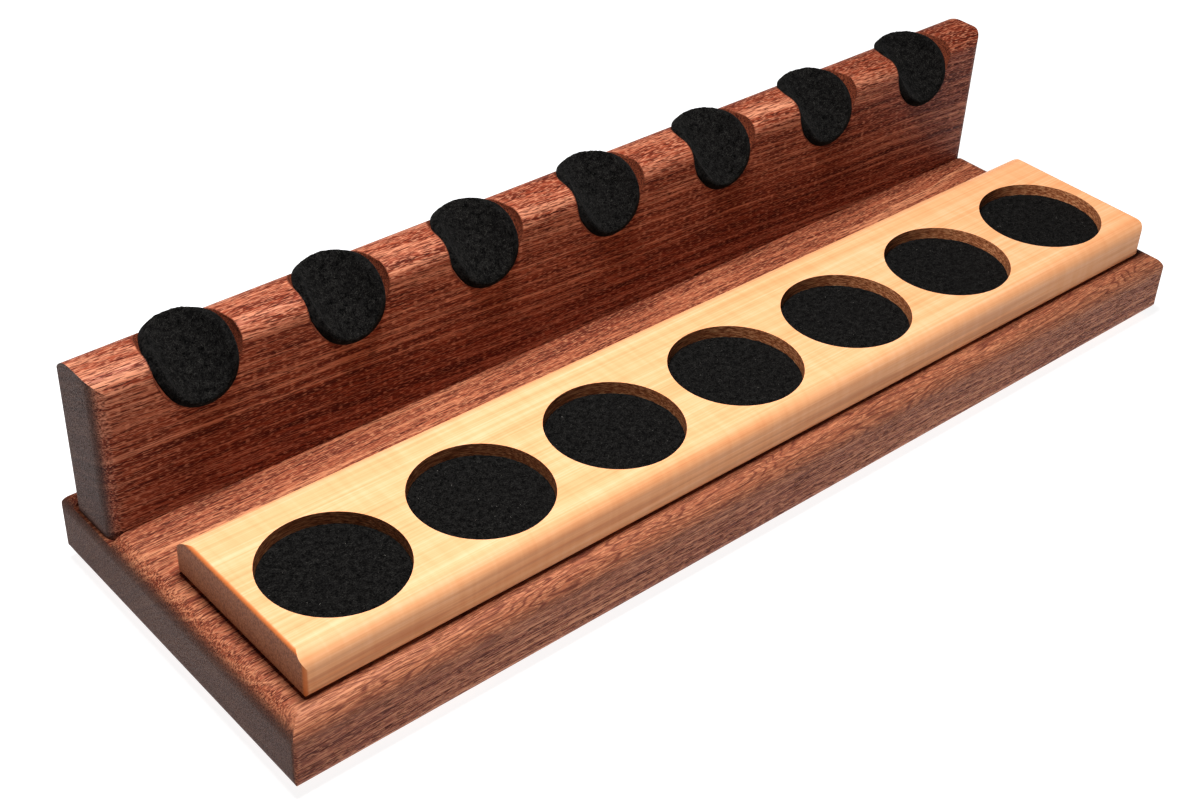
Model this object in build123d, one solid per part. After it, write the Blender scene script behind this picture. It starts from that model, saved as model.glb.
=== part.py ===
from build123d import *
import math
import os

os.makedirs("parts", exist_ok=True)

# Seven-place wooden pipe rack: a base board, a maple board with seven round cups for the
# bowls, and an upright back rail with seven scooped rests for the shanks.
# Millimetres, +X along the rack to the right, +Y to the back, +Z up. The origin is on the
# surface that the rack stands on, under the middle of the base.

# ---------------------------------------------------------------- driving dimensions
# the row of cups
CUP_COUNT = 7
CUP_DIAMETER = 38.1
CUP_LAND = 6.35              # wood left between two neighbouring cups
CUP_DEPTH = 5.5              # bored depth, the felt included
CUP_FELT_THICKNESS = 2.0
CUP_FELT_CLEARANCE = 0.1     # all round, between the felt disc and the bored wall

# the maple cup board
CUP_BOARD_THICKNESS = 13.0
CUP_END_MARGIN = 5.0         # from the outer cups to the ends of the board
CUP_FRONT_MARGIN = 3.85      # the row sits close to the front edge
CUP_BACK_MARGIN = 14.05
CUP_BOARD_FRONT_ROUND = 4.5  # round-overs of the two long top edges
CUP_BOARD_BACK_ROUND = 8.0
CUP_BOARD_END_ROUND = 1.2
CUP_BOARD_FOOT_ROUND = 2.2
CUP_BOARD_CORNER = 1.5

# the base board
BASE_THICKNESS = 20.5
SIDE_LEDGE = 7.7             # base showing past each end of the cup board
FRONT_LEDGE = 6.1
MIDDLE_LEDGE = 21.3          # base showing between the cup board and the rail
REAR_LEDGE = 6.0
BASE_TOP_ROUND = 5.5
BASE_FOOT_ROUND = 4.0
BASE_CORNER = 1.2

# the back rail
RAIL_THICKNESS = 19.0
RAIL_HEIGHT = 46.5           # above the top of the base
RAIL_END_INSET = 1.7         # each end, in from the end of the base
RAIL_TOP_FRONT_ROUND = 5.0
RAIL_TOP_BACK_ROUND = 8.5
RAIL_FRONT_CORNER = 4.5
RAIL_BACK_CORNER = 2.0
GROOVE_DEPTH = 2.5
GROOVE_CLEARANCE = 0.1       # each side of the rail in its groove

# the scooped rests in the rail, and the felt pads bent into them
SCOOP_DIAMETER = 25.4
SCOOP_PITCH_GAIN = 0.35      # the scoops are stepped this much wider than the cups
SCOOP_ANGLE = 38.7           # slope of the scoop, up towards the back
SCOOP_DROP = 17.7            # from the top of the rail down to the front lip of the scoop
REST_FELT_DIAMETER = 26.0    # cut flat, before it is bent into the scoop
REST_FELT_THICKNESS = 2.5
REST_FELT_CLEARANCE = 0.05   # glue line between the felt and the scoop
REST_FELT_OVERHANG = 0.8     # past the front lip of the scoop

# fasteners, all driven from below
SCREW_DIAMETER = 4.2
SCREW_HEAD_DIAMETER = 8.0
SCREW_HEAD_HEIGHT = 2.4
SCREW_SLOT_WIDTH = 1.1
SCREW_SLOT_LENGTH = 4.6
SCREW_SLOT_DEPTH = 1.3
SCREW_TIP = 3.0
SCREW_HOLE_CLEARANCE = 0.25  # all round the shank, in the base
SCREW_SINK = 2.5             # heads lie this far inside the underside
COUNTERBORE_CLEARANCE = 0.5  # all round the head
RAIL_SCREW_BITE = 18.0       # length held in the rail
RAIL_SCREW_SPACING = 2       # in cup pitches
RAIL_SCREW_COUNT = 3
BOARD_SCREW_BITE = 8.5       # length held in the cup board
BOARD_SCREW_OFFSET = 12.0    # either side of the line of cups

# round felt pads under the base
FOOT_DIAMETER = 16.0
FOOT_THICKNESS = 2.0
FOOT_INSET = 18.0            # from the base's edges to the pad's centre

# ---------------------------------------------------------------- what follows from them
CUP_PITCH = CUP_DIAMETER + CUP_LAND
ROW_LENGTH = (CUP_COUNT - 1) * CUP_PITCH + CUP_DIAMETER
CUP_BOARD_LENGTH = ROW_LENGTH + 2 * CUP_END_MARGIN
CUP_BOARD_DEPTH = CUP_FRONT_MARGIN + CUP_DIAMETER + CUP_BACK_MARGIN
BASE_LENGTH = CUP_BOARD_LENGTH + 2 * SIDE_LEDGE
BASE_DEPTH = FRONT_LEDGE + CUP_BOARD_DEPTH + MIDDLE_LEDGE + RAIL_THICKNESS + REAR_LEDGE
RAIL_LENGTH = BASE_LENGTH - 2 * RAIL_END_INSET

FRONT_Y = -BASE_DEPTH / 2
CUP_BOARD_FRONT_Y = FRONT_Y + FRONT_LEDGE
CUP_ROW_Y = CUP_BOARD_FRONT_Y + CUP_FRONT_MARGIN + CUP_DIAMETER / 2
RAIL_FRONT_Y = CUP_BOARD_FRONT_Y + CUP_BOARD_DEPTH + MIDDLE_LEDGE
RAIL_MIDDLE_Y = RAIL_FRONT_Y + RAIL_THICKNESS / 2

BASE_UNDERSIDE_Z = FOOT_THICKNESS
BASE_TOP_Z = BASE_UNDERSIDE_Z + BASE_THICKNESS
CUP_BOARD_TOP_Z = BASE_TOP_Z + CUP_BOARD_THICKNESS
CUP_FLOOR_Z = CUP_BOARD_TOP_Z - CUP_DEPTH
GROOVE_FLOOR_Z = BASE_TOP_Z - GROOVE_DEPTH
RAIL_TOP_Z = BASE_TOP_Z + RAIL_HEIGHT
SCREW_HEAD_Z = BASE_UNDERSIDE_Z + SCREW_SINK

SCOOP_PITCH = CUP_PITCH + SCOOP_PITCH_GAIN
CUP_X = [(i - (CUP_COUNT - 1) / 2) * CUP_PITCH for i in range(CUP_COUNT)]
SCOOP_X = [(i - (CUP_COUNT - 1) / 2) * SCOOP_PITCH for i in range(CUP_COUNT)]
RAIL_SCREW_X = [
    (i - (RAIL_SCREW_COUNT - 1) / 2) * RAIL_SCREW_SPACING * CUP_PITCH
    for i in range(RAIL_SCREW_COUNT)
]
# the board's screws rise in the wood between the two outer cups at each end
BOARD_SCREW_X = [CUP_X[0] + CUP_PITCH / 2, CUP_X[-1] - CUP_PITCH / 2]
BOARD_SCREW_Y = [CUP_ROW_Y - BOARD_SCREW_OFFSET, CUP_ROW_Y + BOARD_SCREW_OFFSET]


# ---------------------------------------------------------------- shared shapes
def rounded_outline(width, height, radii):
    """A closed face, width by height, lower left corner at the origin, with its corners
    rounded to radii: lower left, lower right, upper right, upper left."""
    low_left, low_right, top_right, top_left = radii
    with BuildSketch() as outline:
        with BuildLine():
            # each corner: where the arc starts, its middle and where it ends
            starts = []
            for (x, y), r, turn in (
                ((0, 0), low_left, 180),
                ((width, 0), low_right, 270),
                ((width, height), top_right, 0),
                ((0, height), top_left, 90),
            ):
                cx = x + r if x == 0 else x - r
                cy = y + r if y == 0 else y - r
                if r:
                    arc = CenterArc((cx, cy), r, turn, 90)
                    starts.append((arc @ 0, arc @ 1))
                else:
                    starts.append((Vector(x, y), Vector(x, y)))
            for here, after in zip(starts, starts[1:] + starts[:1]):
                Line(here[1], after[0])
        make_face()
    return outline.sketch


def end_profile(depth, height, radii, length):
    """The section seen from the end (depth along Y, height along Z), run along X."""
    face = rounded_outline(depth, height, radii)
    placed = Plane(origin=(-length / 2, 0, 0), x_dir=(0, 1, 0), z_dir=(1, 0, 0)) * face
    return extrude(placed, amount=length, dir=(1, 0, 0))


def front_profile(length, height, radii, depth):
    """The section seen from the front (length along X, height along Z), run along Y."""
    face = rounded_outline(length, height, radii)
    placed = Plane(origin=(-length / 2, 0, 0), x_dir=(1, 0, 0), z_dir=(0, -1, 0)) * face
    return extrude(placed, amount=depth, dir=(0, 1, 0))


def plan_profile(length, depth, radii, height):
    """The outline seen from above, run up along Z."""
    face = rounded_outline(length, depth, radii)
    return extrude(Pos(-length / 2, 0, 0) * face, amount=height)


def upright_cylinder(diameter, x, y, bottom, top):
    return Pos(x, y, bottom) * Cylinder(
        diameter / 2, top - bottom, align=(Align.CENTER, Align.CENTER, Align.MIN)
    )


def box_between(low, high):
    size = [b - a for a, b in zip(low, high)]
    return Pos(*low) * Box(*size, align=(Align.MIN, Align.MIN, Align.MIN))


def save(name, shape):
    shape.label = name
    export_step(shape, f"parts/{name}.step")


# ---------------------------------------------------------------- screws and their holes
def wood_screw(x, y, tip_z):
    """A countersunk screw, head down, from its head's face up to tip_z."""
    neck_z = SCREW_HEAD_Z + SCREW_HEAD_HEIGHT
    head = Pos(x, y, (SCREW_HEAD_Z + neck_z) / 2) * Cone(
        SCREW_HEAD_DIAMETER / 2, SCREW_DIAMETER / 2, SCREW_HEAD_HEIGHT
    )
    shank = upright_cylinder(SCREW_DIAMETER, x, y, neck_z, tip_z - SCREW_TIP)
    point = Pos(x, y, tip_z - SCREW_TIP / 2) * Cone(SCREW_DIAMETER / 2, 0, SCREW_TIP)
    cross = Box(SCREW_SLOT_LENGTH, SCREW_SLOT_WIDTH, 2 * SCREW_SLOT_DEPTH)
    cross += Box(SCREW_SLOT_WIDTH, SCREW_SLOT_LENGTH, 2 * SCREW_SLOT_DEPTH)
    return head + shank + point - Pos(x, y, SCREW_HEAD_Z) * cross


def base_screw_hole(x, y):
    """Counterbore, countersink and clearance hole through the base."""
    bore = SCREW_HEAD_DIAMETER + 2 * COUNTERBORE_CLEARANCE
    hole = SCREW_DIAMETER + 2 * SCREW_HOLE_CLEARANCE
    neck_z = SCREW_HEAD_Z + SCREW_HEAD_HEIGHT
    sunk = Pos(x, y, (SCREW_HEAD_Z + neck_z) / 2) * Cone(
        SCREW_HEAD_DIAMETER / 2, SCREW_DIAMETER / 2, SCREW_HEAD_HEIGHT
    )
    wide = upright_cylinder(bore, x, y, BASE_UNDERSIDE_Z, SCREW_HEAD_Z)
    through = upright_cylinder(hole, x, y, neck_z, BASE_TOP_Z)
    return wide + sunk + through


def pilot_hole(x, y, seat_z, tip_z):
    """The hole that a screw cuts for itself in the piece above the base."""
    shank = upright_cylinder(SCREW_DIAMETER, x, y, seat_z, tip_z - SCREW_TIP)
    return shank + Pos(x, y, tip_z - SCREW_TIP / 2) * Cone(SCREW_DIAMETER / 2, 0, SCREW_TIP)


RAIL_SCREW_TIP_Z = GROOVE_FLOOR_Z + RAIL_SCREW_BITE
BOARD_SCREW_TIP_Z = BASE_TOP_Z + BOARD_SCREW_BITE
RAIL_SCREW_PLACES = [(x, RAIL_MIDDLE_Y) for x in RAIL_SCREW_X]
BOARD_SCREW_PLACES = [(x, y) for x in BOARD_SCREW_X for y in BOARD_SCREW_Y]


# ---------------------------------------------------------------- base board
def base_board():
    """Round-overs on every edge meet in mitres at the corners; a groove right along the
    top holds the rail."""
    top, foot, corner = BASE_TOP_ROUND, BASE_FOOT_ROUND, BASE_CORNER
    radii = (foot, foot, top, top)
    board = end_profile(BASE_DEPTH, BASE_THICKNESS, radii, BASE_LENGTH)
    board &= front_profile(BASE_LENGTH, BASE_THICKNESS, radii, BASE_DEPTH)
    board &= plan_profile(BASE_LENGTH, BASE_DEPTH, (corner,) * 4, BASE_THICKNESS)
    board = Pos(0, FRONT_Y, BASE_UNDERSIDE_Z) * board
    board -= box_between(
        (-BASE_LENGTH / 2, RAIL_FRONT_Y - GROOVE_CLEARANCE, GROOVE_FLOOR_Z),
        (
            BASE_LENGTH / 2,
            RAIL_FRONT_Y + RAIL_THICKNESS + GROOVE_CLEARANCE,
            BASE_TOP_Z,
        ),
    )
    for x, y in RAIL_SCREW_PLACES + BOARD_SCREW_PLACES:
        board -= base_screw_hole(x, y)
    return board


# ---------------------------------------------------------------- cup board
def cup_board():
    """A maple board with the row of flat-bottomed cups bored in its top."""
    front, back = CUP_BOARD_FRONT_ROUND, CUP_BOARD_BACK_ROUND
    end, foot, corner = CUP_BOARD_END_ROUND, CUP_BOARD_FOOT_ROUND, CUP_BOARD_CORNER
    length, depth, height = CUP_BOARD_LENGTH, CUP_BOARD_DEPTH, CUP_BOARD_THICKNESS
    board = end_profile(depth, height, (foot, foot, back, front), length)
    board &= front_profile(length, height, (foot, foot, end, end), depth)
    board &= plan_profile(length, depth, (corner,) * 4, height)
    board = Pos(0, CUP_BOARD_FRONT_Y, BASE_TOP_Z) * board
    for x in CUP_X:
        board -= upright_cylinder(CUP_DIAMETER, x, CUP_ROW_Y, CUP_FLOOR_Z, CUP_BOARD_TOP_Z)
    for x, y in BOARD_SCREW_PLACES:
        board -= pilot_hole(x, y, BASE_TOP_Z, BOARD_SCREW_TIP_Z)
    return board


def cup_felt(x):
    """The felt disc that lines the floor of one cup."""
    diameter = CUP_DIAMETER - 2 * CUP_FELT_CLEARANCE
    return upright_cylinder(
        diameter, x, CUP_ROW_Y, CUP_FLOOR_Z, CUP_FLOOR_Z + CUP_FELT_THICKNESS
    )


# ---------------------------------------------------------------- back rail
def scoop_plane(x):
    """Frame of one scoop: origin on its front lip, X along the rack, Y up the slope to the
    back, Z square out of the slope."""
    slope = math.radians(SCOOP_ANGLE)
    return Plane(
        origin=(x, RAIL_FRONT_Y, RAIL_TOP_Z - SCOOP_DROP),
        x_dir=(1, 0, 0),
        z_dir=(0, -math.sin(slope), math.cos(slope)),
    )


def scoop_rod(radius, start, end):
    """A rod lying in a scoop's frame, its axis one scoop radius above the slope."""
    rod = Rot(-90, 0, 0) * Cylinder(
        radius, end - start, align=(Align.CENTER, Align.CENTER, Align.MIN)
    )
    return Pos(0, start, SCOOP_DIAMETER / 2) * rod


def scoop_cutter():
    """The round-bottomed channel, open above its axis."""
    radius = SCOOP_DIAMETER / 2
    reach = 2 * (RAIL_THICKNESS + SCOOP_DROP)
    above = box_between((-radius, -reach, radius), (radius, reach, reach))
    return scoop_rod(radius, -reach, reach) + above


def back_rail():
    """An upright board with rounded top edges and rounded front corners. Its ends are cut
    after the top is rounded, so the end edges stay crisp."""
    height = RAIL_HEIGHT + GROOVE_DEPTH
    front, back = RAIL_FRONT_CORNER, RAIL_BACK_CORNER
    radii = (0, 0, RAIL_TOP_BACK_ROUND, RAIL_TOP_FRONT_ROUND)
    rail = end_profile(RAIL_THICKNESS, height, radii, RAIL_LENGTH)
    rail &= plan_profile(RAIL_LENGTH, RAIL_THICKNESS, (front, front, back, back), height)
    rail = Pos(0, RAIL_FRONT_Y, GROOVE_FLOOR_Z) * rail
    for x in SCOOP_X:
        rail -= scoop_plane(x) * scoop_cutter()
    for x, y in RAIL_SCREW_PLACES:
        rail -= pilot_hole(x, y, GROOVE_FLOOR_Z, RAIL_SCREW_TIP_Z)
    return rail


def rest_felt(x):
    """A round felt disc bent into a scoop. Its middle layer keeps its length, and its edge
    stays square to its faces, so the edge is cut towards the scoop's axis."""
    radius = SCOOP_DIAMETER / 2
    outer = radius - REST_FELT_CLEARANCE
    inner = outer - REST_FELT_THICKNESS
    reach = REST_FELT_DIAMETER / 2
    middle_y = reach - REST_FELT_OVERHANG
    spread = math.tan(reach / ((outer + inner) / 2))
    near_axis = inner / 4
    outline = loft(
        [
            Pos(0, middle_y, 0) * Ellipse(spread * radius, reach),
            Pos(0, middle_y, radius - near_axis) * Ellipse(spread * near_axis, reach),
        ],
        ruled=True,
    )
    start, end = middle_y - reach, middle_y + reach
    curved = scoop_rod(outer, start, end) - scoop_rod(inner, start, end)
    return scoop_plane(x) * (curved & outline)


# ---------------------------------------------------------------- foot pads
def foot_pad(side, end):
    """A felt pad under one corner; side is -1 left or 1 right, end -1 front or 1 rear."""
    x = side * (BASE_LENGTH / 2 - FOOT_INSET)
    y = end * (BASE_DEPTH / 2 - FOOT_INSET)
    return upright_cylinder(FOOT_DIAMETER, x, y, 0, FOOT_THICKNESS)


# ---------------------------------------------------------------- write the pieces
save("base_board", base_board())
save("cup_board", cup_board())
save("back_rail", back_rail())
for number, (cup_x, scoop_x) in enumerate(zip(CUP_X, SCOOP_X), start=1):
    save(f"cup_felt_{number}", cup_felt(cup_x))
    save(f"rest_felt_{number}", rest_felt(scoop_x))
save("rail_screws", Compound([wood_screw(x, y, RAIL_SCREW_TIP_Z) for x, y in RAIL_SCREW_PLACES]))
save(
    "cup_board_screws",
    Compound([wood_screw(x, y, BOARD_SCREW_TIP_Z) for x, y in BOARD_SCREW_PLACES]),
)
for end_name, end in (("front", -1), ("rear", 1)):
    for side_name, side in (("left", -1), ("right", 1)):
        save(f"foot_pad_{end_name}_{side_name}", foot_pad(side, end))

print(f"base {BASE_LENGTH:.1f} x {BASE_DEPTH:.1f} mm, height {RAIL_TOP_Z:.1f} mm")
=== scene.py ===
# %% [markdown]
# # A seven-place pipe rack in sapele and maple
# The rack is a sapele base, a pale maple board with seven felt-lined cups for the bowls, and an
# upright sapele rail with seven felt-lined scoops for the shanks. The boards come from the CAD
# frame, exactly where they belong. This script gives them their wood, makes the felts as real
# soft pieces, and sets up a small studio.
#
# The boards are left as the CAD made them, because their shapes are exact there already. Only
# the felts are made again, because cloth of any kind looks wrong as a hard-edged solid.

import math
import random

import bpy
from mathutils import Matrix, Vector, noise


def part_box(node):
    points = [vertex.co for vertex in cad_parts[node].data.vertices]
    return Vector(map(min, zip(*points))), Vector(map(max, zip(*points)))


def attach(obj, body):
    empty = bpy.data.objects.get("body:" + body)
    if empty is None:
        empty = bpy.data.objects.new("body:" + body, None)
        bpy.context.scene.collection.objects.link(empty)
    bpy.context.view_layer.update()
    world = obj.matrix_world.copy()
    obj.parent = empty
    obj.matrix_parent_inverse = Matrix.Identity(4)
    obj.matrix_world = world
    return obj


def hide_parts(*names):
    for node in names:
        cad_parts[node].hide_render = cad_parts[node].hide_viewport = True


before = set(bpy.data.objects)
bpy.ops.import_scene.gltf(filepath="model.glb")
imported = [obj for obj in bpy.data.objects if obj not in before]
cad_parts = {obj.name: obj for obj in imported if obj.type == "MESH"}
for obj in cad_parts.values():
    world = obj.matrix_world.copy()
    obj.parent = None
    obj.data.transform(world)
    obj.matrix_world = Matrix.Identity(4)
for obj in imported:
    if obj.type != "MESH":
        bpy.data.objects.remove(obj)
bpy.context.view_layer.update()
MM = 0.001

# %% [markdown]
# ## Places and sizes
# Nothing that the frame knows is measured again. The felt discs give the centres of the cups
# and scoops, and the boards' own boxes give their edges. If a board moves in the CAD, its felts
# and the dark walls of its cups or scoops move with it.
#
# Four facts about the boring are not in any box, so they are written down here: the slack
# round a cup's felt, and the slope, the radius and the depth of the scoops in the rail.

# %% Where things are
CUPS = range(1, 8)
CUP_SLACK = 0.1 * MM
base_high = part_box("base_board")[1]
maple_low, maple_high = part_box("cup_board")
rail_low, rail_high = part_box("back_rail")

cup_boxes = [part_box(f"cup_felt_{n}") for n in CUPS]
cup_centres = [(low + high) / 2 for low, high in cup_boxes]
felt_radius = (cup_boxes[0][1].x - cup_boxes[0][0].x) / 2
cup_radius = felt_radius + CUP_SLACK
cup_pitch = cup_centres[1].x - cup_centres[0].x
cup_row_y = cup_centres[0].y
print("cup pitch", round(cup_pitch / MM, 2), "mm, cup radius", round(cup_radius / MM, 2), "mm")

# %% Where the scoops are
SCOOP_SLOPE = math.radians(38.7)
SCOOP_RADIUS = 12.7 * MM
SCOOP_DROP = 17.7 * MM
lip_z = rail_high.z - SCOOP_DROP
scoop_boxes = [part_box(f"rest_felt_{n}") for n in CUPS]
scoop_pitch = (scoop_boxes[6][0].x - scoop_boxes[0][0].x) / 6
print("scoop pitch", round(scoop_pitch / MM, 2), "mm, front lip at", round(lip_z / MM, 2), "mm")

# %% [markdown]
# ## Colours
# Shaders work in linear light, where half the number is half the light. People mix colours on
# the usual 0 to 255 scale, where it is not. One small function turns the second into the first,
# so that every colour below can be read and changed by eye.


# %% Colour helper
def colour(red, green, blue):
    """An ordinary 0-255 colour as linear RGBA."""
    linear = []
    for channel in (red, green, blue):
        c = channel / 255
        linear.append(c / 12.92 if c <= 0.04045 else ((c + 0.055) / 1.055) ** 2.4)
    return (*linear, 1.0)


print("middle grey as linear light:", round(colour(128, 128, 128)[0], 3))

# %% [markdown]
# ## Nodes
# A finish is a graph of nodes. It could be wired by hand in the editor, but a script can be
# read, repeated and corrected. `add` makes one node and fills its sockets with numbers or with
# the outputs of other nodes, so that each recipe below reads from top to bottom. `calc` and
# `span` are the two nodes used most: one sum, and one smooth change from a low to a high value.


# %% Node helpers
def add(tree, kind, sockets=None, **settings):
    """Adds a node, sets its settings, and fills its sockets by name or number."""
    made = tree.nodes.new(kind)
    for key, value in settings.items():
        setattr(made, key, value)
    for key, value in (sockets or {}).items():
        if isinstance(value, bpy.types.NodeSocket):
            tree.links.new(value, made.inputs[key])
        else:
            made.inputs[key].default_value = value
    return made


def calc(tree, operation, *values):
    """The result of one Math node."""
    return add(tree, "ShaderNodeMath", dict(enumerate(values)), operation=operation).outputs[0]


def span(tree, value, low, high, to_low=0.0, to_high=1.0):
    """value mapped smoothly from low..high onto to_low..to_high, and held there outside it."""
    sockets = {"Value": value, 1: low, 2: high, 3: to_low, 4: to_high}
    return add(tree, "ShaderNodeMapRange", sockets, interpolation_type="SMOOTHSTEP").outputs[0]


# %% [markdown]
# ## Pattern and colour
# Nearly everything in wood and felt is noise of the right size and stretch: long and thin for
# pores, short and round for felt. So `cloudy` takes the size of its blobs in millimetres, one
# for each direction. `ramp` turns the noise into colours and `blend_colour` lays one colour
# over another.


# %% Pattern and colour helpers
def cloudy(tree, place, size, detail=2.0, rough=0.5, twist=0.0):
    """Noise in 0..1 whose blobs are about size = (x, y, z) millimetres."""
    scale = tuple(1 / (side * MM) for side in size)
    scaled = add(tree, "ShaderNodeVectorMath", {0: place, 1: scale}, operation="MULTIPLY")
    sockets = {
        "Vector": scaled.outputs[0],
        "Scale": 1.0,
        "Detail": detail,
        "Roughness": rough,
        "Distortion": twist,
    }
    return add(tree, "ShaderNodeTexNoise", sockets).outputs["Fac"]


def ramp(tree, value, stops):
    """A colour that changes with value; stops are (position, colour)."""
    made = add(tree, "ShaderNodeValToRGB", {"Fac": value})
    bar = made.color_ramp.elements
    while len(bar) < len(stops):
        bar.new(0.5)
    for stop, (position, tint) in zip(bar, stops):
        stop.position = position
        stop.color = tint
    return made.outputs["Color"]


def blend_colour(tree, amount, under, over):
    """over laid on under by amount, which is 0 to 1."""
    sockets = {0: amount, 6: under, 7: over}
    return add(tree, "ShaderNodeMix", sockets, data_type="RGBA", blend_type="MIX").outputs[2]


# %% [markdown]
# ## A new finish
# Each finish starts from Blender's own Principled shader, which covers oiled wood, felt and
# plated steel alike. Its pattern is placed by the board's own coordinates, in metres, so the
# wood runs through the board like real wood and nothing is wrapped round it. Fine relief, such
# as open pores, is too small to be worth modelling and goes to the shader as bump.


# %% New finish
def new_finish(name):
    """An empty material: its tree and its Principled shader."""
    made = bpy.data.materials.new(name)
    made.use_nodes = True
    tree = made.node_tree
    shader = tree.nodes["Principled BSDF"]
    return made, tree, shader


def where(tree):
    """The point's own place on its board, and the direction its surface faces."""
    coordinates = add(tree, "ShaderNodeTexCoord").outputs
    return coordinates["Object"], coordinates["Normal"]


def split(tree, vector):
    """The three parts of a vector."""
    return add(tree, "ShaderNodeSeparateXYZ", {0: vector}).outputs


def raise_surface(tree, shader, height, distance):
    """Feeds height, 0 to 1 over distance in metres, to the shader as fine relief."""
    bump = add(tree, "ShaderNodeBump", {"Height": height, "Distance": distance})
    tree.links.new(bump.outputs[0], shader.inputs["Normal"])


def describe(finish):
    print(finish.name, "is made of", len(finish.node_tree.nodes), "nodes")


# %% [markdown]
# ## Sapele: the growth rings
# Wood is a solid stuff, so its pattern is worked out in three dimensions. The growth rings are
# shells round the heart of the log, a line along the board outside its section. Where a face
# cuts the shells squarely it shows fine straight lines, and where it grazes them it shows
# wandering flames, with no picture and no unwrapping. Slow noise along the length makes the
# shells wander. A second noise, which changes from ring to ring and about four times in a metre
# of length, gives each ring its own tone.


# %% Growth rings
TONES_PER_METRE = 4.0


def shifted(tree, place, seed):
    """place moved along the log, so that two boards never show the same wood."""
    step = (seed, seed * 0.37, 0)
    return add(tree, "ShaderNodeVectorMath", {0: place, 1: step}, operation="ADD").outputs[0]


def ring_bands(tree, grain_place, x, y, z, heart, ring, wander, seed):
    """The tone of the growth ring that each point lies in, about 0.5 in the middle."""
    slow = cloudy(tree, grain_place, (70, 30, 30), 1.0, 0.4)
    quick = cloudy(tree, grain_place, (16, 7, 7), 2.0, 0.5)
    quick_drift = calc(tree, "MULTIPLY", quick, wander * 0.22 * MM)
    drift = calc(tree, "MULTIPLY_ADD", slow, wander * MM, quick_drift)
    across_y = calc(tree, "SUBTRACT", y, heart[0] * MM)
    across_z = calc(tree, "SUBTRACT", z, heart[1] * MM)
    squared = calc(
        tree,
        "ADD",
        calc(tree, "MULTIPLY", across_y, across_y),
        calc(tree, "MULTIPLY", across_z, across_z),
    )
    radius = calc(tree, "ADD", calc(tree, "SQRT", squared), drift)
    rings = calc(tree, "DIVIDE", radius, ring * MM)
    along = calc(tree, "MULTIPLY", x, TONES_PER_METRE)
    ring_place = add(tree, "ShaderNodeCombineXYZ", {0: rings, 1: along, 2: seed}).outputs[0]
    sockets = {"Vector": ring_place, "Scale": 1.0, "Detail": 3.0, "Roughness": 0.6}
    return add(tree, "ShaderNodeTexNoise", sockets).outputs["Fac"]


# %% [markdown]
# ## Sapele: the flamed edge
# Along the top front edge of the base the cutter has rounded the board almost along its
# shells, so they show as long pointed flames with dark outlines. The outlines are the level
# lines of a slow noise, like the contours on a map: the noise is folded to and fro between
# nothing and a half, and there is one dark line each time it comes back to nothing.


# %% Flamed edge
FLAME_LINES = 22.0


def flamed_edge(tree, wood, grain_place, y, z, light):
    """Lays the flames over wood, near the top front edge only."""
    on_ledge = calc(
        tree,
        "MULTIPLY",
        span(tree, y, maple_low.y - 0.5 * MM, maple_low.y + 3 * MM, 1.0, 0.0),
        span(tree, z, base_high.z - 9 * MM, base_high.z - 4 * MM),
    )
    swirl = cloudy(tree, grain_place, (64, 7, 7), 2.0, 0.42, 0.2)
    turns = calc(tree, "PINGPONG", calc(tree, "MULTIPLY", swirl, FLAME_LINES), 0.5)
    flame = span(tree, turns, 0.02, 0.24, 0.62, 0.0)
    wood = blend_colour(tree, calc(tree, "MULTIPLY", on_ledge, 0.3), wood, light)
    return blend_colour(tree, calc(tree, "MULTIPLY", on_ledge, flame), wood, colour(96, 44, 38))


# %% [markdown]
# ## Sapele: the walls of the scoops
# The bit leaves the scoops rough, and oil soaks in there and dries dark. The walls are part of
# the same solid as the rail, so they are found by sums: a point belongs to a scoop when it is
# no further from the scoop's sloping axis than the scoop's radius. Folding the length of the
# rail by the pitch makes one sum do for all seven.


# %% Scoop walls
def from_nearest(tree, x, pitch):
    """How far along the board a point is from the middle of its nearest cup or scoop."""
    nearest = calc(tree, "SNAP", calc(tree, "ADD", x, pitch / 2), pitch)
    return calc(tree, "SUBTRACT", x, nearest)


def in_scoops(tree, x, y, z):
    """1 on the walls of the scoops and 0 elsewhere."""
    cell = from_nearest(tree, x, scoop_pitch)
    back = calc(tree, "SUBTRACT", y, rail_low.y)
    back = calc(tree, "MULTIPLY", back, -math.sin(SCOOP_SLOPE))
    above_lip = calc(tree, "SUBTRACT", z, lip_z)
    lift = calc(tree, "MULTIPLY_ADD", above_lip, math.cos(SCOOP_SLOPE), back)
    below_axis = calc(tree, "MINIMUM", calc(tree, "SUBTRACT", lift, SCOOP_RADIUS), 0.0)
    squared = calc(tree, "MULTIPLY", below_axis, below_axis)
    squared = calc(tree, "MULTIPLY_ADD", cell, cell, squared)
    near, far = SCOOP_RADIUS + 0.05 * MM, SCOOP_RADIUS + 0.5 * MM
    return span(tree, calc(tree, "SQRT", squared), near, far, 1.0, 0.0)


def scoop_walls(tree, wood, place, x, y, z):
    """Lays rough dark wood over wood, on the walls of the scoops."""
    torn = cloudy(tree, place, (2.4, 0.4, 0.4), 3.0, 0.7)
    walls = ramp(tree, torn, [(0.36, colour(58, 22, 14)), (0.66, colour(150, 84, 60))])
    return blend_colour(tree, in_scoops(tree, x, y, z), wood, walls)
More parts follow.
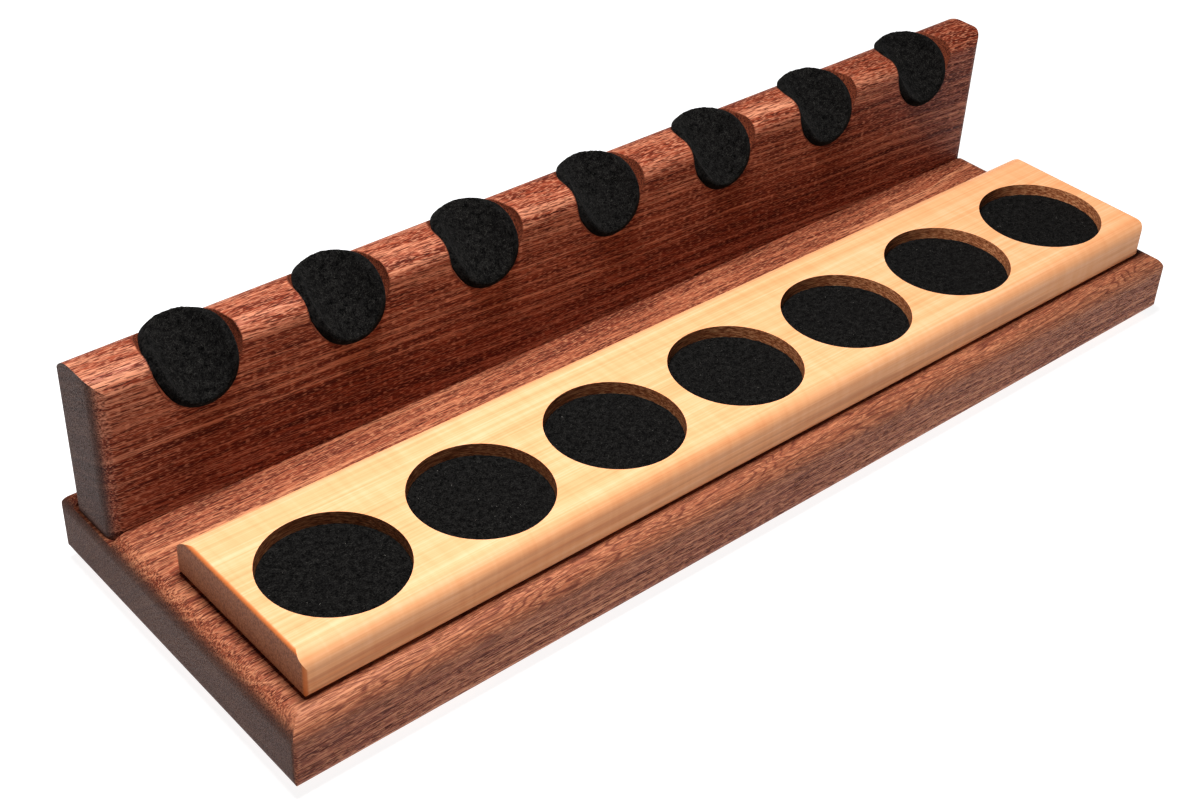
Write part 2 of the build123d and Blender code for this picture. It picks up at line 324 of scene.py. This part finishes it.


# %% [markdown]
# ## Sapele: the whole recipe
# The rings give the broad tone. Over them lie the things that the eye reads as sapele: fine
# dark lines along the grain, dark pores a few millimetres long and about a quarter of one wide,
# and pale flecks that catch the light. At the ends the same wood drinks more oil and dries
# darker, and its grey there is a painted reflection of the white surroundings. The finish is a
# soft oil, smoother on the dense wood and duller in the pores.


# %% Sapele recipe
def sapele(
    name, heart, ring, wander, slope, tones, line_colour, end_grain_and_sheen_tones, seed, bored=False, flamed=False
):
    """heart is the log's centre line (y, z), ring the spacing and wander the drift of the
    shells, all in mm; slope is the grain's rise per mm of length, tones the dark, middle and
    light colours, line_colour the pores', and the end tones the end grain's, dark as end grain
    is and greyed with a painted reflection of the white surroundings; seed moves the board
    along the log. bored adds the walls of the scoops, and flamed the flames along the top
    front edge."""
    finish, tree, shader = new_finish(name)
    place, normal = where(tree)
    x, y, z = split(tree, place)
    z_on_grain = calc(tree, "MULTIPLY_ADD", x, -slope, z)
    on_grain = add(tree, "ShaderNodeCombineXYZ", {0: x, 1: y, 2: z_on_grain}).outputs[0]
    grain_place = shifted(tree, on_grain, seed)
    dark, middle, light = tones

    # the rings, and a slow change of tone across the board
    bands = ring_bands(tree, grain_place, x, y, z_on_grain, heart, ring, wander, seed)
    broad = cloudy(tree, shifted(tree, place, seed), (90, 12, 12), 2.0, 0.5)
    lines = cloudy(tree, grain_place, (16, 0.42, 0.42), 1.0, 0.5)
    tone = calc(tree, "MULTIPLY_ADD", broad, 0.3, 0.12)
    tone = calc(tree, "MULTIPLY_ADD", lines, -0.25, tone)
    tone = calc(tree, "ADD", calc(tree, "MULTIPLY", bands, 0.7), tone)
    wood = ramp(tree, tone, [(0.36, dark), (0.5, middle), (0.66, light)])

    # fine lines, pores and flecks along the grain
    pores = cloudy(tree, grain_place, (3.6, 0.28, 0.28), 0.0, 0.5)
    flecks = cloudy(tree, grain_place, (1.8, 0.3, 0.3), 0.0, 0.5)
    pore_mask = span(tree, pores, 0.57, 0.66)
    line_mask = span(tree, lines, 0.5, 0.66)
    wood = blend_colour(tree, calc(tree, "MULTIPLY", line_mask, 0.5), wood, line_colour)
    wood = blend_colour(tree, calc(tree, "MULTIPLY", pore_mask, 0.65), wood, line_colour)
    wood = blend_colour(tree, span(tree, flecks, 0.53, 0.68, 0.0, 0.6), wood, light)
    if flamed:
        wood = flamed_edge(tree, wood, grain_place, y, z, light)

    # end grain: darker, and greyed by a painted reflection of the white surroundings
    end_on = span(tree, calc(tree, "ABSOLUTE", split(tree, normal)[0]), 0.55, 0.95)
    end_specks = cloudy(tree, place, (3.0, 0.3, 0.3), 2.0, 0.6)
    end_wood = ramp(tree, end_specks, [(0.36, end_grain_and_sheen_tones[0]), (0.62, end_grain_and_sheen_tones[1])])
    wood = blend_colour(tree, calc(tree, "MULTIPLY", end_on, 0.85), wood, end_wood)
    if bored:
        wood = scoop_walls(tree, wood, place, x, y, z)
    tree.links.new(wood, shader.inputs["Base Color"])

    # soft oil
    rough = span(tree, lines, 0.3, 0.7, 0.42, 0.56)
    rough = calc(tree, "MULTIPLY_ADD", pore_mask, 0.2, rough)
    tree.links.new(rough, shader.inputs["Roughness"])
    shader.inputs["Specular IOR Level"].default_value = 0.18
    relief = calc(tree, "SUBTRACT", calc(tree, "MULTIPLY", flecks, 0.5), pore_mask)
    relief = calc(tree, "MULTIPLY_ADD", line_mask, -0.6, relief)
    raise_surface(tree, shader, relief, 0.08 * MM)
    return finish


# %% [markdown]
# ## Two boards of sapele
# The base and the rail come from different parts of a log. The base is from nearer the heart,
# which lies below it and towards the front, so its rings curve and its lines wander. The rail
# is from much further out, where the rings are nearly flat, so its face shows straighter lines
# that fall a little to the right. It has had more oil, or is redder wood, and is darker.

# %% Sapele for the base and the rail
base_wood = sapele(
    "sapele_base",
    heart=(-47, -60),
    ring=1.0,
    wander=9.0,
    slope=0.0,
    tones=(colour(108, 50, 36), colour(150, 86, 62), colour(200, 138, 104)),
    line_colour=colour(70, 28, 22),
    # end grain colours: dark end grain, greyed by a painted reflection of the white surroundings
    end_grain_and_sheen_tones=(colour(40, 24, 18), colour(88, 56, 45)),
    seed=0.31,
    flamed=True,
)
rail_wood = sapele(
    "sapele_rail",
    heart=(-40, -160),
    ring=1.3,
    wander=5.0,
    slope=-0.06,
    tones=(colour(90, 32, 20), colour(138, 66, 44), colour(208, 142, 112)),
    line_colour=colour(58, 18, 12),
    # end grain colours: dark end grain, greyed by a painted reflection of the white surroundings
    end_grain_and_sheen_tones=(colour(36, 26, 23), colour(80, 58, 52)),
    seed=0.77,
    bored=True,
)
describe(base_wood)
describe(rail_wood)

# %% [markdown]
# ## Maple: the scorched cups, the ends and their painted edge glow
# A bit that goes slowly into hard maple burns it, so the cups' walls are brown and fibrous, with
# paler torn fibres. The walls are found in the same way as the scoops', by the distance from the
# nearest cup's axis. A warm orange line along the ends' rounded edges is a painted highlight,
# the glow of light through the edge. The line lies where the surface has begun to turn towards
# the end and has not yet finished.


# %% Cup walls and end edges
def in_cups(tree, x, y):
    """1 within the bored radius of any cup and 0 elsewhere."""
    cell = from_nearest(tree, x, cup_pitch)
    down = calc(tree, "SUBTRACT", y, cup_row_y)
    squared = calc(tree, "MULTIPLY", down, down)
    squared = calc(tree, "ADD", calc(tree, "MULTIPLY", cell, cell), squared)
    return calc(tree, "LESS_THAN", calc(tree, "SQRT", squared), cup_radius + 0.06 * MM)


def scorched_wood(tree, grain):
    """Burnt brown wood with paler torn fibres, from a noise that follows the fibres."""
    stops = [
        (0.36, colour(112, 56, 34)),
        (0.5, colour(182, 110, 72)),
        (0.66, colour(236, 180, 134)),
    ]
    return ramp(tree, grain, stops)


def edge_glow_band(tree, end_facing):
    """1 on the small round between the top and an end, where the painted edge glow lies, and 0 on
    either side of it.
    """
    begun = span(tree, end_facing, 0.12, 0.5)
    unfinished = span(tree, end_facing, 0.75, 0.99, 1.0, 0.0)
    return calc(tree, "MULTIPLY", begun, unfinished)


# %% [markdown]
# ## Maple: the whole recipe
# Maple is close and pale, with faint lines along its length, a slight curl across it that shows
# as soft bars, and warmer streaks of heartwood low along the front edge. Its ends are darker.


# %% Maple recipe
def maple():
    """Oiled maple, with the walls of the cups and the ends scorched, and a painted highlight
    glowing along the ends' edges.
    """
    finish, tree, shader = new_finish("maple_oiled")
    place, normal = where(tree)
    x, y, z = split(tree, place)
    faces_x, _, faces_z = split(tree, normal)
    end_facing = calc(tree, "ABSOLUTE", faces_x)

    # lines, figure and curl
    lines = cloudy(tree, place, (60, 0.55, 0.7), 3.0, 0.6)
    figure = cloudy(tree, place, (120, 5, 5), 2.0, 0.5, 0.4)
    curl = cloudy(tree, place, (2.2, 14, 14), 1.0, 0.4, 0.5)
    tone = calc(tree, "MULTIPLY_ADD", figure, 0.35, calc(tree, "MULTIPLY", curl, 0.15))
    tone = calc(tree, "ADD", calc(tree, "MULTIPLY", lines, 0.5), tone)
    stops = [
        (0.32, colour(222, 152, 104)),
        (0.5, colour(233, 172, 126)),
        (0.66, colour(240, 188, 148)),
    ]
    wood = ramp(tree, tone, stops)

    # heartwood streaks low along the front edge
    low_front = calc(
        tree,
        "MULTIPLY",
        span(tree, y, maple_low.y + 0.5 * MM, maple_low.y + 5 * MM, 1.0, 0.0),
        span(tree, z, maple_low.z + 4 * MM, maple_low.z + 12 * MM, 1.0, 0.0),
    )
    heartwood = cloudy(tree, place, (55, 1.6, 1.6), 2.0, 0.5)
    streak = calc(tree, "MULTIPLY", low_front, span(tree, heartwood, 0.46, 0.62, 0.0, 0.35))
    wood = blend_colour(tree, streak, wood, colour(176, 102, 70))

    # the cups' walls: inside the bored radius and facing sideways
    in_cup = in_cups(tree, x, y)
    out_of_cup = calc(tree, "SUBTRACT", 1.0, in_cup)
    sideways = span(tree, calc(tree, "ABSOLUTE", faces_z), 0.3, 0.6, 1.0, 0.0)
    wall = calc(tree, "MULTIPLY", in_cup, sideways)
    scorch_grain = cloudy(tree, place, (5.0, 1.2, 0.35), 3.0, 0.7)
    scorched = scorched_wood(tree, scorch_grain)
    wood = blend_colour(tree, calc(tree, "MULTIPLY", wall, 0.9), wood, scorched)

    # the ends, and a painted highlight along their edges
    at_end = calc(tree, "MULTIPLY", span(tree, end_facing, 0.5, 0.95), out_of_cup)
    end_specks = cloudy(tree, place, (5, 0.35, 0.5), 2.0, 0.6)
    end_wood = ramp(tree, end_specks, [(0.35, colour(118, 68, 44)), (0.65, colour(168, 110, 76))])
    wood = blend_colour(tree, at_end, wood, end_wood)
    # painted highlight: a warm orange line along the rounded end edges, standing in for light
    # glowing through them
    painted_edge_glow = calc(tree, "MULTIPLY", edge_glow_band(tree, end_facing), out_of_cup)
    wood = blend_colour(tree, calc(tree, "MULTIPLY", painted_edge_glow, 0.8), wood, colour(196, 108, 52))
    tree.links.new(wood, shader.inputs["Base Color"])

    # the same soft oil
    tree.links.new(span(tree, lines, 0.3, 0.7, 0.4, 0.52), shader.inputs["Roughness"])
    shader.inputs["Specular IOR Level"].default_value = 0.18
    relief = calc(tree, "MULTIPLY_ADD", wall, calc(tree, "MULTIPLY", scorch_grain, 3.0), lines)
    raise_surface(tree, shader, relief, 0.03 * MM)
    return finish


maple_wood = maple()
describe(maple_wood)

# %% [markdown]
# ## Dressing the boards
# The boards themselves stay where the frame put them. Only the finish in each of their material
# slots is changed.


# %% Dress the boards
def dress(node, finish):
    """Puts finish on every material slot of a CAD node."""
    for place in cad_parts[node].material_slots:
        place.material = finish
    print(node, "is finished in", finish.name)


dress("base_board", base_wood)
dress("back_rail", rail_wood)
dress("cup_board", maple_wood)

# %% [markdown]
# ## Screws
# The seven screws are driven from below and show only in their counterbores. They are bright
# zinc-plated steel with fine marks of the driver and a little dullness where dust sits.


# %% Screw steel
def screw_steel():
    """Zinc plating with a dull film and fine scratches."""
    finish, tree, shader = new_finish("zinc_plated_steel")
    place, _ = where(tree)
    film = cloudy(tree, place, (0.8, 0.8, 0.8), 3.0, 0.6)
    scratches = cloudy(tree, place, (0.15, 1.6, 0.15), 2.0, 0.5)
    tint = ramp(tree, film, [(0.3, colour(138, 136, 130)), (0.7, colour(196, 196, 192))])
    tree.links.new(tint, shader.inputs["Base Color"])
    shader.inputs["Metallic"].default_value = 1.0
    tree.links.new(span(tree, scratches, 0.3, 0.7, 0.28, 0.5), shader.inputs["Roughness"])
    raise_surface(tree, shader, scratches, 0.01 * MM)
    return finish


steel = screw_steel()
describe(steel)
dress("rail_screws", steel)
dress("cup_board_screws", steel)

# %% [markdown]
# ## Felt
# Wool felt is matted fibre: without gloss, faintly mottled, with a soft rim and stray hairs.
# Particle hair would look right, but it is no mesh and would be lost when the rack is handed
# on. So the body of each pad is a disc with a rounded rim whose face is pushed in and out a
# little, and the hairs are real ribbons, far finer than the pad, that lie along the face and
# stand off its rim. One recipe dyes three kinds: the pad, its hairs, and the few pale specks of
# lint that black felt gathers.


# %% Felt finish
def felt(name, ground, hair):
    """ground and hair are the darkest and lightest colours of the mottled fibre."""
    finish, tree, shader = new_finish(name)
    place, _ = where(tree)
    mottle = cloudy(tree, place, (1.6, 1.6, 1.6), 3.0, 0.6)
    matted = cloudy(tree, place, (0.42, 0.42, 0.42), 2.0, 0.6, 0.6)
    mixed = calc(tree, "MULTIPLY_ADD", matted, 0.6, calc(tree, "MULTIPLY", mottle, 0.4))
    tree.links.new(ramp(tree, mixed, [(0.4, ground), (0.62, hair)]), shader.inputs["Base Color"])
    shader.inputs["Roughness"].default_value = 0.95
    shader.inputs["Specular IOR Level"].default_value = 0.05
    shader.inputs["Sheen Weight"].default_value = 0.02
    shader.inputs["Sheen Roughness"].default_value = 0.6
    raise_surface(tree, shader, matted, 0.18 * MM)
    return finish


black_felt = felt("black_felt", colour(1, 1, 1), colour(36, 35, 34))
felt_hair = felt("felt_hair", colour(14, 14, 13), colour(84, 82, 78))
lint = felt("pale_lint", colour(120, 116, 110), colour(170, 166, 160))
for finish in (black_felt, felt_hair, lint):
    describe(finish)

# %% [markdown]
# ## One way of making every felt
# A pad is cut flat and then laid or bent, so its shape is made in the same order. `pad_body`
# works in the flat pad's own measures: how far from its centre, and how high above its seat. A
# `lay` function then carries each point to its place: straight down for a cup and a foot, and
# round the scoop's axis for a rest.


# %% Pad bodies
def mesh_piece(name, points, faces, finish):
    """A smooth-shaded mesh object of felt that rides on the rack."""
    mesh = bpy.data.meshes.new(name)
    mesh.from_pydata(points, [], faces)
    mesh.update()
    mesh.polygons.foreach_set("use_smooth", [True] * len(mesh.polygons))
    piece = bpy.data.objects.new(name, mesh)
    bpy.context.scene.collection.objects.link(piece)
    mesh.materials.append(finish)
    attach(piece, "root")
    return piece


FACE_RINGS = 34
RIM_RINGS = 7
SIDE_RINGS = 4
STEPS_ROUND = 144


def pad_profile(radius, thickness, rim):
    """(distance from centre, height) from the middle of the face, over the rim, to the seat."""
    flat = radius - rim
    low = thickness - rim
    line = [(flat * (i / FACE_RINGS) ** 0.85, thickness) for i in range(1, FACE_RINGS + 1)]
    for i in range(1, RIM_RINGS + 1):
        turn = math.radians(90 * i / RIM_RINGS)
        line.append((flat + rim * math.sin(turn), low + rim * math.cos(turn)))
    for i in range(1, SIDE_RINGS + 1):
        line.append((radius, low * (1 - i / SIDE_RINGS)))
    return line


def lumps(spot):
    """Unevenness of the felt at a spot given in mm: a few large lumps and more small ones."""
    lump = noise.noise(spot * 0.55) * 0.8 + noise.noise(spot * 1.7) * 0.6
    lump += noise.noise(spot * 4.1) * 0.35
    return lump


def pad_body(name, radius, thickness, rim, lay, finish, seed, rough=0.11):
    """A felt disc with an uneven face, carried into place by lay(a, b, height). rough is the
    unevenness in mm, and seed picks the lumps."""
    around = STEPS_ROUND
    line = pad_profile(radius, thickness, rim)
    points = [lay(0.0, 0.0, thickness)]
    for distance, height in line:
        for step in range(around):
            turn = 2 * math.pi * step / around
            a, b = distance * math.cos(turn), distance * math.sin(turn)
            spot = Vector((a / MM, b / MM, height / MM + seed))
            share = min(1.0, height / (thickness - rim))
            swell = rough * MM * lumps(spot) * share
            reach = 1 + (swell / max(distance, MM)) * (1 if distance > radius - rim else 0)
            points.append(lay(a * reach, b * reach, height + swell * (height > thickness * 0.5)))
    points.append(lay(0.0, 0.0, 0.0))
    faces = []
    for step in range(around):
        after = (step + 1) % around
        faces.append((0, 1 + step, 1 + after))
        for ring in range(len(line) - 1):
            here, below = 1 + ring * around, 1 + (ring + 1) * around
            faces.append((here + step, below + step, below + after, here + after))
        last = 1 + (len(line) - 1) * around
        faces.append((len(points) - 1, last + after, last + step))
    return mesh_piece(name, points, faces, finish)


# %% [markdown]
# ## Hairs
# Each hair is a narrow ribbon of four short steps. It starts on the face, drifts in a random
# direction with a slight curl, and lifts a little. Near the rim it may run outwards, which is
# what softens the pad's outline.


# %% Hairs
def hairs(
    name, count, radius, thickness, rim, lay, finish, draw, width=0.035, longest=1.3, lift=0.16
):
    """count ribbons over a pad, all in one mesh; width, longest and lift are in mm."""
    points, faces = [], []
    steps = 4
    for _ in range(count):
        distance = radius * math.sqrt(draw.random())
        turn = draw.uniform(0, 2 * math.pi)
        a, b = distance * math.cos(turn), distance * math.sin(turn)
        heading = draw.uniform(0, 2 * math.pi)
        curl = draw.uniform(-0.55, 0.55)
        length = draw.uniform(0.35, 1.0) * longest * MM
        rise = draw.uniform(0.2, 1.0) * lift * MM
        start = len(points)
        for i in range(steps + 1):
            share = i / steps
            over = max(0.0, math.hypot(a, b) - (radius - rim))
            drop = rim - math.sqrt(max(0.0, rim * rim - min(over, rim) ** 2))
            height = thickness - drop + 0.02 * MM + rise * math.sin(math.pi * (0.15 + 0.7 * share))
            half = width * MM / 2 * (1 - 0.6 * share)
            side_a, side_b = -math.sin(heading) * half, math.cos(heading) * half
            points.append(lay(a - side_a, b - side_b, height))
            points.append(lay(a + side_a, b + side_b, height + half * 0.4))
            heading += curl
            a += math.cos(heading) * length / steps
            b += math.sin(heading) * length / steps
            out = math.hypot(a, b) / (radius + 0.25 * MM)
            if out > 1:
                a, b = a / out, b / out
        for i in range(steps):
            k = start + 2 * i
            faces.append((k, k + 1, k + 3, k + 2))
    return mesh_piece(name, points, faces, finish)


# %% [markdown]
# ## Cup felts
# Seven discs lie in the cups and keep a pipe's bowl off the bare wood. Each is a hair smaller
# than its bore.
# The lumps and hairs of each are drawn anew, because seven equal discs would look stamped.


# %% Cup felts
def laid_at(centre_x, centre_y, seat_z):
    """Carries a flat pad to its seat."""
    return lambda a, b, height: (centre_x + a, centre_y + b, seat_z + height)


CUP_FELT_RIM = 0.5 * MM
HAIRS_PER_CUP = 1500
SPECKS_PER_CUP = 14
# how far inside the felt's stated edge the pad, its hairs and its specks stop
PAD_GAP, HAIR_GAP, SPECK_GAP = 0.05 * MM, 0.3 * MM, 2 * MM

draw = random.Random(7)
for number, (low, high) in zip(CUPS, cup_boxes):
    middle = (low + high) / 2
    shape = (high.z - low.z, CUP_FELT_RIM, laid_at(middle.x, middle.y, low.z))
    pad_to, hairs_to = felt_radius - PAD_GAP, felt_radius - HAIR_GAP
    specks_to = felt_radius - SPECK_GAP
    pad = pad_body(f"cup_felt_disc_{number}", pad_to, *shape, black_felt, seed=number * 9.7)
    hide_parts(f"cup_felt_{number}")
    hairs(f"cup_felt_hairs_{number}", HAIRS_PER_CUP, hairs_to, *shape, felt_hair, draw)
    name = f"cup_felt_lint_{number}"
    hairs(name, SPECKS_PER_CUP, specks_to, *shape, lint, draw, width=0.07, longest=0.5)
print("cup felts made:", len(cup_boxes), "of", round(2 * felt_radius / MM, 1), "mm")

# %% [markdown]
# ## Rest felts
# A rest felt is the same kind of disc bent into its scoop. The scoop is a trough that slopes
# down to the front, so a point of the flat disc goes round the trough's axis by the angle that
# its sideways place takes up on the trough, and up the slope by its other place. The angle is
# measured on the felt's middle layer, which keeps its length when felt is bent. The discs were
# pressed in by hand: each reaches a little past the front lip and sits about six degrees round
# to the right.

# %% Bending a disc into its scoop
GLUE_LINE = 0.05 * MM
REST_RADIUS = 13.0 * MM
REST_THICKNESS = 2.5 * MM
REST_OVERHANG = 0.8 * MM
REST_TWIST = 0.11
middle_layer = SCOOP_RADIUS - GLUE_LINE - REST_THICKNESS / 2
up_slope = Vector((0, math.cos(SCOOP_SLOPE), math.sin(SCOOP_SLOPE)))
out_of_slope = Vector((0, -math.sin(SCOOP_SLOPE), math.cos(SCOOP_SLOPE)))


def bent_at(centre_x):
    """Carries a flat pad into the scoop at centre_x."""
    lip = Vector((centre_x, rail_low.y, lip_z))

    def lay(a, b, height):
        from_axis = SCOOP_RADIUS - GLUE_LINE - height
        turn = REST_TWIST + a / middle_layer
        sideways = Vector((from_axis * math.sin(turn), 0, 0))
        up = up_slope * (b + REST_RADIUS - REST_OVERHANG)
        return lip + sideways + up + out_of_slope * (SCOOP_RADIUS - from_axis * math.cos(turn))

    return lay


rest_span = math.degrees(2 * REST_RADIUS / middle_layer)
print("a rest felt wraps", round(rest_span), "degrees of its scoop")

# %% Rest felts
REST_FELT_RIM = 0.9 * MM
HAIRS_PER_REST = 1300

for number, (low, high) in zip(CUPS, scoop_boxes):
    shape = (REST_RADIUS, REST_THICKNESS, REST_FELT_RIM, bent_at((low.x + high.x) / 2))
    pad = pad_body(f"rest_felt_disc_{number}", *shape, black_felt, seed=number * 5.3, rough=0.16)
    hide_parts(f"rest_felt_{number}")
    name = f"rest_felt_hairs_{number}"
    hairs(name, HAIRS_PER_REST, *shape, felt_hair, draw, longest=1.7, lift=0.34)
print("rest felts made:", len(scoop_boxes), "of", round(2 * REST_RADIUS / MM, 1), "mm")

# %% [markdown]
# ## Foot pads
# Four small discs of the same felt keep the base off the table. They are made face up like the
# others and then turned over, so their seats are against the base. The rack's weight presses
# their faces flat, so they get no lumps and no hairs.


# %% Foot pads
FOOT_RIM = 0.35 * MM


def hung_at(centre_x, centre_y, seat_z):
    """Carries a flat pad, turned over, to its seat."""
    return lambda a, b, height: (centre_x + a, centre_y - b, seat_z - height)


for end in ("front", "rear"):
    for side in ("left", "right"):
        low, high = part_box(f"foot_pad_{end}_{side}")
        middle = (low + high) / 2
        radius = (high.x - low.x) / 2
        shape = (radius, high.z - low.z, FOOT_RIM, hung_at(middle.x, middle.y, high.z))
        pad = pad_body(f"foot_felt_{end}_{side}", *shape, black_felt, seed=3.1, rough=0.0)
        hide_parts(f"foot_pad_{end}_{side}")
        print(pad.name, "is", round(2 * radius / MM, 1), "mm across")

# %% [markdown]
# ## Table
# The rack stands on one large flat sheet of matt white paper. The sheet glows a little of
# itself, so that it stays white from edge to edge under a single lamp. It is staging and no part
# of the rack.


# %% Table
TABLE_HALF_SIZE = 6.0
TABLE_GLOW = 0.75


def table_top():
    """A square of faintly glowing white paper under the rack."""
    finish, tree, shader = new_finish("white_table")
    place, _ = where(tree)
    paper = cloudy(tree, place, (3, 3, 3), 3.0, 0.5)
    tint = ramp(tree, paper, [(0.3, colour(150, 150, 150)), (0.7, colour(156, 156, 156))])
    tree.links.new(tint, shader.inputs["Base Color"])
    shader.inputs["Roughness"].default_value = 0.9
    shader.inputs["Specular IOR Level"].default_value = 0.1
    shader.inputs["Emission Color"].default_value = (1, 1, 1, 1)
    shader.inputs["Emission Strength"].default_value = TABLE_GLOW
    half = TABLE_HALF_SIZE
    corners = [(-half, -half, 0), (half, -half, 0), (half, half, 0), (-half, half, 0)]
    mesh = bpy.data.meshes.new("table_top")
    mesh.from_pydata(corners, [], [(0, 1, 2, 3)])
    top = bpy.data.objects.new("table_top", mesh)
    mesh.materials.append(finish)
    bpy.context.scene.collection.objects.link(top)
    return top


table = table_top()
print(table.name, "is", 2 * TABLE_HALF_SIZE, "m wide")

# %% [markdown]
# ## Light
# One soft light hangs nearly straight above, a little left of the middle. It makes the tops
# bright, lets the brightness fall away to the right, and leaves the rail's face and the ends
# dark and rich. A bigger lamp would grey the ends, because it would reach round them.


# %% Light
def soft_light(name, place, aim, width, height, power):
    """A rectangular light at place, turned to face aim; sizes in metres, power in watts."""
    lamp = bpy.data.lights.new(name, "AREA")
    lamp.shape = "RECTANGLE"
    lamp.size, lamp.size_y = width, height
    lamp.energy = power
    made = bpy.data.objects.new(name, lamp)
    made.location = place
    made.rotation_euler = (Vector(aim) - Vector(place)).to_track_quat("-Z", "Y").to_euler()
    bpy.context.scene.collection.objects.link(made)
    return made


overhead = soft_light(
    "overhead",
    place=(-0.1, -0.01, 0.62),
    aim=(-0.08, 0.0, 0.03),
    width=0.2,
    height=0.18,
    power=5.3,
)
print("light hangs", round(overhead.location.z, 2), "m above the table")

# %% [markdown]
# ## Room and tone
# The room round the table is white but nearly dark, and only fills the deepest shade. A slightly
# steeper tone curve than the plain one deepens the darks.

# %% Room and tone
ROOM_GLOW = 0.05

room = bpy.data.worlds.new("white_room")
room.use_nodes = True
room.node_tree.nodes["Background"].inputs["Color"].default_value = (1, 1, 1, 1)
room.node_tree.nodes["Background"].inputs["Strength"].default_value = ROOM_GLOW
bpy.context.scene.world = room
bpy.context.scene.view_settings.view_transform = "Standard"
bpy.context.scene.view_settings.look = "Medium High Contrast"
print("room glow", ROOM_GLOW, "and tone", bpy.context.scene.view_settings.look)

# %% [markdown]
# ## Camera
# The view is from the left front, about half a metre away and 36 degrees up, with the slight
# tilt of a camera held by hand. It looks at a point on the maple's top, left of the middle and
# a little behind the row of cups, so that the near end fills the lower left.

# %% Where the camera looks
AZIMUTH, ELEVATION, ROLL = (math.radians(angle) for angle in (-42.45, 36.36, 2.82))
DISTANCE = 505.2 * MM
LENS_MM = 56.58
LOOK_LEFT = 40.50 * MM
LOOK_BEHIND = 10.56 * MM
target = Vector((-LOOK_LEFT, cup_row_y + LOOK_BEHIND, maple_high.z))
backwards = Vector(
    (
        math.sin(AZIMUTH) * math.cos(ELEVATION),
        -math.cos(AZIMUTH) * math.cos(ELEVATION),
        math.sin(ELEVATION),
    )
)
right = (-backwards).cross(Vector((0, 0, 1))).normalized()
up = right.cross(-backwards)
rolled_right = math.cos(ROLL) * right + math.sin(ROLL) * up
rolled_up = -math.sin(ROLL) * right + math.cos(ROLL) * up
print("camera looks at", [round(v / MM, 1) for v in target], "mm")

# %% Camera
lens = bpy.data.cameras.new("camera")
lens.sensor_width = 36
lens.lens = LENS_MM
lens.clip_start = 0.01
camera = bpy.data.objects.new("camera", lens)
axes = Matrix((rolled_right, rolled_up, backwards)).transposed()
camera.matrix_world = Matrix.Translation(target + backwards * DISTANCE) @ axes.to_4x4()
bpy.context.scene.collection.objects.link(camera)
bpy.context.scene.camera = camera
print("camera at", [round(v, 3) for v in camera.matrix_world.translation])
